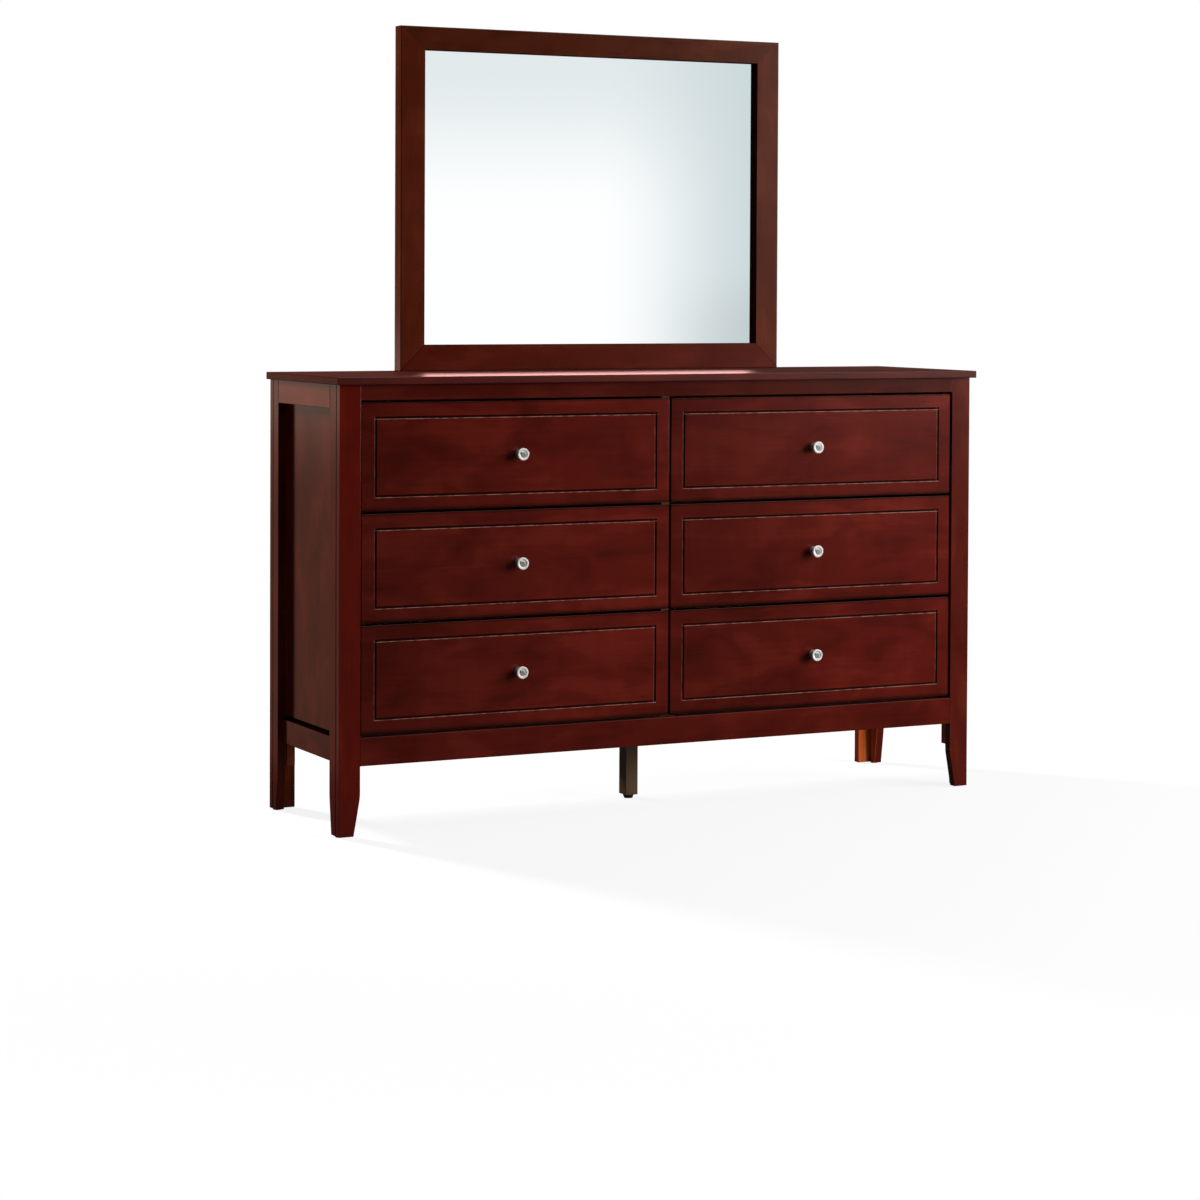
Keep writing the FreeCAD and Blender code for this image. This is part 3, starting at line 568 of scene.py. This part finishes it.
def leg_masks(tree, spot, bare_plane):
    """The bare inner faces of a leg, and the joint line between its two boards."""
    reach = sums(tree, "ABSOLUTE", spot["X"])
    near_side = sums(tree, "LESS_THAN", distance(tree, reach, LEG_INNER_PLANE), BARE_BAND)
    off_front = distance(tree, spot["Y"], bare_plane)
    near_front = sums(tree, "LESS_THAN", off_front, BARE_BAND)
    inward = -1.0 if bare_plane > 0 else 1.0
    depth = sums(tree, "MULTIPLY", sums(tree, "SUBTRACT", spot["Y"], bare_plane), inward)
    behind = sums(tree, "GREATER_THAN", depth, -BARE_BAND)
    between = sums(tree, "LESS_THAN", reach, LEG_INNER_PLANE + BARE_BAND)
    bare = sums(tree, "MAXIMUM", sums(tree, "MULTIPLY", near_side, behind),
                sums(tree, "MULTIPLY", near_front, between))
    joint = sums(tree, "MULTIPLY", sums(tree, "LESS_THAN", off_front, LEG_SEAM_HALF),
                 sums(tree, "GREATER_THAN", reach, LEG_OUTSIDE))
    return bare, joint


# %% Painted shade on a drawer front
GROOVE_INSET = 0.030
END_SHADE_LEVELS, END_SHARE = (0.80, 1.10), 0.6
LOW_EDGE, LOW_EDGE_SHADE = (-0.002, 0.011), 0.10
HIGH_EDGE, HIGH_EDGE_SHADE = 0.006, 0.40


def front_painted_shade(tree, spot, middle, half):
    """Painted shade: darker at a front's left end and along its lower and upper edge."""
    end = rise(tree, spot["X"], middle.x - half[0], middle.x + half[0] * END_SHARE, *END_SHADE_LEVELS)
    bottom, top = middle.z - half[2] - GROOVE_INSET, middle.z + half[2] + GROOVE_INSET
    low_edge = rise(tree, spot["Z"], bottom + LOW_EDGE[0], bottom + LOW_EDGE[1], LOW_EDGE_SHADE)
    high_edge = rise(tree, spot["Z"], top, top - HIGH_EDGE, HIGH_EDGE_SHADE)
    return sums(tree, "MULTIPLY", end, sums(tree, "MULTIPLY", low_edge, high_edge))


# %% [markdown]
# ## Stained and lacquered cherry
# Under the lacquer the stained wood is matt. Over it lies a clear coat, nearly sharp, that mirrors the room
# at a low angle. That is why the side of the case shines pinkish while the front stays deep red. Bare
# faces, open joints and bands of painted shade have no coat. The left-hand legs have painted shade near the
# floor.

# %% Cherry
CHERRY_PORES, BARE_PORES = 0.35, 0.25
BARE_CONTRAST, BARE_CLOUD, BARE_ROUGHER = 0.9, 0.35, 0.3
FOOT_SHADE_HEIGHT, FOOT_SHADE_LEVEL = 0.16, 0.70
BARE_SHADE_REACH, BARE_SHADE_POWER = (0.03, 0.13), 4
GLINT_BREAK_SCALE, GLINT_BREAK_DETAIL = 60.0, 3.0
GLINT_BREAK_LIMITS, GLINT_BREAK_LEAST = (0.38, 0.60), 0.30
COAT_ROUGHNESS, CHERRY_RELIEF = 0.14, 0.25
RELIEF_DEPTH = 0.0002


def cherry_finish(name, direction, slide, tones, bare_plane=None, seams=(), groove=None,
                  coat_rough=COAT_ROUGHNESS, relief=CHERRY_RELIEF, foot_shade=1.0):
    """Red stained, lacquered wood. bare_plane is the Y of a leg's inner face that was left unstained."""
    finish, tree, shader = new_finish(name)
    vector = along_board(tree, direction, slide)
    stained = use_group(tree, stain, {"Vector": vector, **tones, "Contrast": 1.0,
                                      "Pore Strength": CHERRY_PORES})
    colour, rough, coat = stained["Color"], stained["Roughness"], 1.0
    place = put(tree, "TexCoord").outputs["Object"]
    spot = split(tree, place)
    if bare_plane is not None:
        raw = use_group(tree, stain, {"Vector": vector, **BARE_LEG, "Contrast": BARE_CONTRAST,
                                      "Pore Strength": BARE_PORES, "Cloud": BARE_CLOUD})
        bare, joint = leg_masks(tree, spot, bare_plane)
        # painted shade: on the left-hand legs the bare faces go nearly black near the floor
        bare_shade = rise(tree, spot["Z"], *BARE_SHADE_REACH, foot_shade ** BARE_SHADE_POWER)
        colour = mixed(tree, bare, colour, darkened(tree, raw["Color"], bare_shade))
        rough = sums(tree, "ADD", rough, sums(tree, "MULTIPLY", bare, BARE_ROUGHER))
        colour = mixed(tree, joint, colour, JOINT_AND_SHADE_DARK)
        # painted shade: the left-hand legs darken towards the floor
        colour = darkened(tree, colour, rise(tree, spot["Z"], 0.0, FOOT_SHADE_HEIGHT, foot_shade))
        coat = sums(tree, "MULTIPLY", sums(tree, "SUBTRACT", 1.0, bare), sums(tree, "SUBTRACT", 1.0, joint))
    # seams are dark joint lines or bands of painted shade; neither has a coat
    for across, offset, half, shade in seams:
        line = seam_mask(tree, spot, across, offset, half)
        colour = mixed(tree, line, colour, shade)
        coat = sums(tree, "MULTIPLY", coat, sums(tree, "SUBTRACT", 1.0, line))
    if groove is not None:
        # noise that breaks up the painted highlight on the lips
        glint_break = put(tree, "TexNoise", {"Vector": place, "Scale": GLINT_BREAK_SCALE, "Detail": GLINT_BREAK_DETAIL})
        glint_break = rise(tree, glint_break.outputs["Fac"], *GLINT_BREAK_LIMITS, bottom=GLINT_BREAK_LEAST)
        cut, lower, left = lip_masks(tree, spot, *groove)
        # painted shade: each front darker at its left end and along its lower and upper edge
        colour = darkened(tree, colour, front_painted_shade(tree, spot, *groove))
        # painted shade inside the groove
        colour = mixed(tree, cut, colour, GROOVE_SHADE)
        # painted highlight on the left and lower lips of the groove
        colour = mixed(tree, sums(tree, "MULTIPLY", left, glint_break), colour, LIP_SIDE_HIGHLIGHT)
        colour = mixed(tree, sums(tree, "MULTIPLY", lower, glint_break), colour, LIP_HIGHLIGHT)
    bump = put(tree, "Bump", {"Height": stained["Height"], "Strength": relief, "Distance": RELIEF_DEPTH})
    feed(tree, shader, {"Base Color": colour, "Roughness": rough, "Normal": bump.outputs["Normal"],
                        "Specular IOR Level": 0.0, "Coat Weight": coat, "Coat Roughness": coat_rough})
    return finish


# %% [markdown]
# ## Plain woods
# Hidden parts are cheaper wood left clear: battens, runners, blocks and the mirror's uprights. The drawer
# boxes are pale sealed wood, and the thin sheets are plywood with a quiet, straight figure. A drawer box is
# one object of four boards, so its grain follows the way each face looks: its sides run front to back, and
# its two ends run left to right.

# %% Plain woods
PLAIN_PORES, PLAIN_CLOUD, PLAIN_RELIEF, PLAIN_ROUGHER = 0.25, 0.25, 0.3, 0.2
SEALER_ROUGHNESS = 0.2
CROSS_LIMIT = 0.7


def plain_finish(name, direction, tones, contrast=1.0, rougher=PLAIN_ROUGHER, coat=0.0, cloud=PLAIN_CLOUD,
                 cross=False):
    """Wood without the red stain. cross turns the grain along X on faces that look along Y."""
    finish, tree, shader = new_finish(name)
    vector = along_board(tree, direction)
    if cross:
        facing = split(tree, put(tree, "TexCoord").outputs["Normal"])["Y"]
        is_across = sums(tree, "GREATER_THAN", sums(tree, "ABSOLUTE", facing), CROSS_LIMIT)
        vector = mixed(tree, is_across, vector, along_board(tree, "x"))
    stained = use_group(tree, stain, {"Vector": vector, **tones, "Contrast": contrast,
                                      "Pore Strength": PLAIN_PORES, "Cloud": cloud})
    bump = put(tree, "Bump", {"Height": stained["Height"], "Strength": PLAIN_RELIEF,
                              "Distance": RELIEF_DEPTH})
    feed(tree, shader, {"Base Color": stained["Color"],
                        "Roughness": sums(tree, "ADD", stained["Roughness"], rougher),
                        "Normal": bump.outputs["Normal"], "Coat Weight": coat,
                        "Coat Roughness": SEALER_ROUGHNESS})
    return finish


# %% [markdown]
# ## Knobs and screws
# The knobs are satin nickel under a milky lacquer, so they are only partly metal. The dish and the neck
# behind the head get painted shade, and a dark mark in the dish is a painted reflection. All six knobs are
# alike, so one material finds the nearest knob's middle from its place. Screws are plain plated steel.

# %% Metals
knob_low, knob_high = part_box("bottom_left_knob")
KNOB_MIDDLE = (knob_low + knob_high) / 2
KNOB_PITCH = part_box("middle_left_knob")[0].z - knob_low.z
DISH_EDGE, DISH_MIDDLE, DISH_DROP = 0.0078, 0.0040, 0.0018
# painted shade in the dish; the darker colour is painted shade on the neck and a painted reflection
DISH_SHADE = (0.34, 0.33, 0.32, 1)
KNOB_SHADE_AND_REFLECTION = (0.15, 0.14, 0.13, 1)
REFLECTION_ACROSS, REFLECTION_UP = (-0.0070, -0.0030), (-0.0005, 0.0050)
NECK_START, NECK_END = 0.00625, 0.00975
CLOUD_SCALE, CLOUD_DETAIL, CLOUD_LIMITS = 160.0, 3.0, (0.3, 0.7)
WORN_LEVEL = 0.85
DISH_SMOOTHER = 0.20
NICKEL = (0.99, 0.98, 0.96, 1)
STEEL = (0.56, 0.57, 0.58, 1)


def knob_painted_shade(tree, spot, tint):
    """Painted shade in dish and neck, a painted reflection in the dish. Returns the tint and the dish's
    mask.
    """
    side = sums(tree, "MULTIPLY", sums(tree, "SIGN", spot["X"]), -KNOB_MIDDLE.x)
    across = sums(tree, "SUBTRACT", spot["X"], side)
    rows = sums(tree, "DIVIDE", sums(tree, "SUBTRACT", spot["Z"], KNOB_MIDDLE.z), KNOB_PITCH)
    up = sums(tree, "MULTIPLY", sums(tree, "SUBTRACT", rows, sums(tree, "ROUND", rows)), KNOB_PITCH)
    flat = put(tree, "CombineXYZ", {"X": across, "Y": sums(tree, "ADD", up, DISH_DROP), "Z": 0.0})
    off_axis = put(tree, "VectorMath", {0: flat.outputs[0]}, operation="LENGTH").outputs["Value"]
    in_dish = rise(tree, off_axis, DISH_EDGE, DISH_MIDDLE)
    dark_reflection = sums(tree, "MULTIPLY", within(tree, across, *REFLECTION_ACROSS), within(tree, up, *REFLECTION_UP))
    on_neck = rise(tree, spot["Y"], knob_low.y + NECK_START, knob_low.y + NECK_END)
    # painted shade in the dish, a painted dark reflection in it, and painted shade on the neck
    tint = mixed(tree, in_dish, tint, DISH_SHADE)
    tint = mixed(tree, dark_reflection, tint, KNOB_SHADE_AND_REFLECTION)
    return mixed(tree, on_neck, tint, KNOB_SHADE_AND_REFLECTION), in_dish


def metal_finish(name, colour, rough, scratch, metallic=1.0, dished=False):
    """Metal with a faint uneven polish."""
    finish, tree, shader = new_finish(name)
    place = put(tree, "TexCoord").outputs["Object"]
    cloud = put(tree, "TexNoise", {"Vector": place, "Scale": CLOUD_SCALE, "Detail": CLOUD_DETAIL})
    cloud = cloud.outputs["Fac"]
    worn = tuple(level * WORN_LEVEL for level in colour[:3]) + (1,)
    tint = mixed(tree, cloud, colour, worn)
    polish = rise(tree, cloud, *CLOUD_LIMITS, rough, rough + scratch)
    if dished:
        tint, in_dish = knob_painted_shade(tree, split(tree, place), tint)
        polish = sums(tree, "SUBTRACT", polish, sums(tree, "MULTIPLY", in_dish, DISH_SMOOTHER))
    feed(tree, shader, {"Base Color": tint, "Metallic": metallic, "Roughness": polish})
    return finish


# %% [markdown]
# ## Mirror and plastic
# A mirror is a perfectly sharp metal, so its roughness is exactly nothing. Plastic glides are black and
# dull, with fine pits from the mould.

# %% Mirror and plastic
SILVER = (0.965, 0.98, 0.985, 1)
PLASTIC_DARK, PLASTIC_LIGHT = (0.012, 0.012, 0.012, 1), (0.02, 0.02, 0.02, 1)
PLASTIC_ROUGHNESS = 0.5
PIT_SCALE, PIT_DETAIL, PIT_RELIEF = 900.0, 2.0, 0.2


def mirror_finish():
    """Silvered glass."""
    finish, tree, shader = new_finish("mirror_glass_silvered")
    feed(tree, shader, {"Base Color": SILVER, "Metallic": 1.0, "Roughness": 0.0})
    return finish


def plastic_finish():
    """Black moulded plastic."""
    finish, tree, shader = new_finish("black_plastic_moulded")
    place = put(tree, "TexCoord").outputs["Object"]
    pits = put(tree, "TexNoise", {"Vector": place, "Scale": PIT_SCALE, "Detail": PIT_DETAIL}).outputs["Fac"]
    bump = put(tree, "Bump", {"Height": pits, "Strength": PIT_RELIEF, "Distance": RELIEF_DEPTH})
    feed(tree, shader, {"Base Color": mixed(tree, pits, PLASTIC_DARK, PLASTIC_LIGHT),
                        "Roughness": PLASTIC_ROUGHNESS, "Normal": bump.outputs["Normal"]})
    return finish


# %% [markdown]
# ## Dust strips
# Behind the apron a cabinet maker glues a strip on each side of the middle. Its lip stands up behind the
# bottom drawers and closes the gap under them, so that neither dust nor daylight comes through. Its
# near-black tone is painted shade, which keeps the gap under the drawers dark. Each strip starts as a
# board, a cut marks off its front, and the rest of its top is pulled up into the lip.

# %% Dust strips
apron_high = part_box("front_apron")[1]
STRIP_CLEARANCE = 0.0005
STRIP_FRONT, STRIP_STEP, STRIP_BACK = apron_high.y, -0.1672, -0.1550
STRIP_LOW, STRIP_SHOULDER, STRIP_TOP = 0.176, apron_high.z - STRIP_CLEARANCE, 0.2100
STRIP_INNER, STRIP_OUTER = 0.0315, apron_high.x - STRIP_CLEARANCE
STRIP_EDGE, STRIP_EDGE_STEPS = 0.0008, 2
UPWARD = 0.9
FLAT_ANGLE = 0.01


def dust_strip(name, low_x, high_x):
    """An L-shaped wooden strip from low_x to high_x."""
    mesh = bmesh.new()
    size = Vector((high_x - low_x, STRIP_BACK - STRIP_FRONT, STRIP_SHOULDER - STRIP_LOW))
    middle = Vector((low_x + high_x, STRIP_FRONT + STRIP_BACK, STRIP_LOW + STRIP_SHOULDER)) / 2
    board = Matrix.Translation(middle) @ Matrix.Diagonal(size).to_4x4()
    bmesh.ops.create_cube(mesh, size=1.0, matrix=board)
    bmesh.ops.bisect_plane(mesh, geom=mesh.verts[:] + mesh.edges[:] + mesh.faces[:],
                           plane_co=(0, STRIP_STEP, 0), plane_no=(0, 1, 0))
    top = [face for face in mesh.faces
           if face.normal.z > UPWARD and face.calc_center_median().y > STRIP_STEP]
    pulled = bmesh.ops.extrude_face_region(mesh, geom=top)["geom"]
    bmesh.ops.delete(mesh, geom=top, context="FACES_ONLY")
    lip = [item for item in pulled if isinstance(item, bmesh.types.BMVert)]
    bmesh.ops.translate(mesh, verts=lip, vec=(0, 0, STRIP_TOP - STRIP_SHOULDER))
    bmesh.ops.dissolve_limit(mesh, angle_limit=FLAT_ANGLE, verts=mesh.verts[:], edges=mesh.edges[:])
    bmesh.ops.bevel(mesh, geom=mesh.edges[:], offset=STRIP_EDGE, segments=STRIP_EDGE_STEPS, profile=0.5,
                    affect="EDGES")
    bmesh.ops.recalc_face_normals(mesh, faces=mesh.faces[:])
    data = bpy.data.meshes.new(name)
    mesh.to_mesh(data)
    mesh.free()
    strip = bpy.data.objects.new(name, data)
    scene.collection.objects.link(strip)
    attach(strip, "case")
    return strip


strips = [dust_strip("dust_strip_left", -STRIP_OUTER, -STRIP_INNER),
          dust_strip("dust_strip_right", STRIP_INNER, STRIP_OUTER)]
for strip in strips:
    print(strip.name, "faces", len(strip.data.polygons))

# %% [markdown]
# ## Which board gets what
# Each board's name says what it is, so short tables give its grain direction and its tone. The lines that a
# board shows, such as a mitre, painted shade on the mirror frame's inner faces or a band of painted shade
# at a side's bottom rail, are planes taken from the boards' own boxes.

# %% Tables of directions and tones
ALONG = {"top_panel": "x", "front_top_rail": "x", "front_apron": "x", "mirror_bottom_rail": "x",
         "mirror_top_rail": "x", "side_top_rail": "y", "side_bottom_rail": "y", "drawer_front": "x"}
TONES = {"top_panel": CHERRY_TOP, "front_top_rail": CHERRY_RAIL_SHADED, "side_top_rail": CHERRY_SIDE_RAIL_SHEEN,
         "front_apron": CHERRY_APRON, "front_left_leg": CHERRY_NEAR_LEG, "front_right_leg": CHERRY_FAR_LEG,
         "leg": CHERRY_LEG, "mirror_top_rail": CHERRY_BROWN_TOP, "mirror_bottom_rail": CHERRY_BROWN_LOW,
         "stile": CHERRY_BROWN}
BARE_ALONG = {"back_rails": "x", "mirror_supports": "z"}
TOP_COAT_ROUGHNESS = 0.30
TOP_RELIEF = 0.08
SLIDE_STEP = 0.37


def by_ending(table, name, other):
    """What a table says for the first ending that fits a name."""
    return next((value for ending, value in table.items() if name.endswith(ending)), other)


# %% Lines on the boards
SIDEWAYS, LEVEL, DEEP, SLANTED = (1, 0, 0), (0, 0, 1), (0, 1, 0), (math.sqrt(0.5), 0.0, math.sqrt(0.5))
frame_low, frame_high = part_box("mirror_bottom_rail")
inner_side = -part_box("mirror_left_stile")[1].x
inner_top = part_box("mirror_top_rail")[0].z
mitre_offset = (frame_high.x + frame_low.z) * math.sqrt(0.5)
rail_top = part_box("left_side_bottom_rail")[1].z
# half the height of the band of painted shade above the side bottom rail
RAIL_SHADE_BAND = 0.0035
# painted shade on each frame board's inner face beside the glass
MIRROR_INNER_SHADE = {"stile": (SIDEWAYS, inner_side, SEAM_HALF, INNER_SHADE_BROWN),
                "bottom_rail": (LEVEL, frame_high.z, SEAM_HALF, INNER_SHADE_BROWN),
                "top_rail": (LEVEL, inner_top, SEAM_HALF, INNER_SHADE_BROWN)}
MITRE_LINE = (SLANTED, mitre_offset, SEAM_HALF, JOINT_AND_SHADE_DARK)


def painted_details(name):
    """What else one stained board shows, as named values for its finish."""
    low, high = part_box(name)
    # the left-hand legs get painted shade towards the floor
    if name.endswith("leg"):
        plane = low.y + LEG_BOARD if name.startswith("front") else high.y - LEG_BOARD
        return {"bare_plane": plane, "foot_shade": FOOT_SHADE_LEVEL if "left" in name else 1.0}
    # mirror boards: painted shade on the inner face, and a dark mitre line on the stiles and bottom rail
    if name.startswith("mirror"):
        inner = by_ending(MIRROR_INNER_SHADE, name, None)
        return {"seams": [inner] if name == "mirror_top_rail" else [inner, MITRE_LINE]}
    # painted shade: a dark band on the side panel just above the bottom rail
    if name.endswith("side_panel"):
        return {"seams": [(LEVEL, rail_top + RAIL_SHADE_BAND, RAIL_SHADE_BAND, JOINT_AND_SHADE_DARK)]}
    # painted shade: the top face of the side bottom rail is painted dark
    if name.endswith("side_bottom_rail"):
        return {"seams": [(LEVEL, rail_top, SEAM_HALF, JOINT_AND_SHADE_DARK)]}
    if name.endswith("side_top_rail"):
        return {"seams": [(DEEP, end.y, LEG_SEAM_HALF, JOINT_AND_SHADE_DARK) for end in (low, high)]}
    if name.endswith("drawer_front"):
        half = [(high[axis] - low[axis]) / 2 - GROOVE_INSET for axis in range(3)]
        return {"groove": ((low + high) / 2, half)}
    if name == "top_panel":
        return {"coat_rough": TOP_COAT_ROUGHNESS, "relief": TOP_RELIEF}
    return {}


# %% Assign finishes
slot_finish = {
    "dark_stained_wood": plain_finish("dark_stained_wood_grain", "z", OLIVE, rougher=0.0, coat=0.6,
                                      cloud=STAIN_CLOUD),
    "drawer_box_wood": plain_finish("drawer_box_wood_grain", "y", BOX_WOOD, rougher=0.1, coat=0.2,
                                    cross=True),
    "sheet_wood": plain_finish("sheet_wood_grain", "x", SHEET_WOOD, contrast=0.8, cloud=0.15),
    "mirror_glass": mirror_finish(),
    "satin_nickel": metal_finish("satin_nickel_brushed", NICKEL, rough=0.36, scratch=0.05, metallic=0.4,
                                 dished=True),
    "screw_steel": metal_finish("screw_steel_plated", STEEL, rough=0.25, scratch=0.15),
    "black_plastic": plastic_finish(),
}
bare_along = {way: plain_finish("unfinished_wood_grain_" + way, way, BARE) for way in "xyz"}
block_finish = plain_finish("corner_block_grain", "z", BARE_LEG)
# the strips' near-black tone is painted shade for the gap under the drawers
strip_shade_finish = plain_finish("dust_strip_shade_grain", "x", STRIP_SHADE_TONE)

for count, (name, board) in enumerate(sorted(boards.items())):
    slot = board.material_slots[0].material.name
    if slot == "cherry_stained_wood":
        finish = cherry_finish(name + "_finish", by_ending(ALONG, name, "z"), count * SLIDE_STEP,
                               by_ending(TONES, name, CHERRY), **painted_details(name))
    elif name == "corner_blocks":
        finish = block_finish
    elif slot == "unfinished_wood":
        finish = bare_along[BARE_ALONG.get(name, "y")]
    else:
        finish = slot_finish[slot]
    for place in board.material_slots:
        place.material = finish
for strip in strips:
    strip.data.materials.clear()
    strip.data.materials.append(strip_shade_finish)
print("finishes", len(bpy.data.materials))
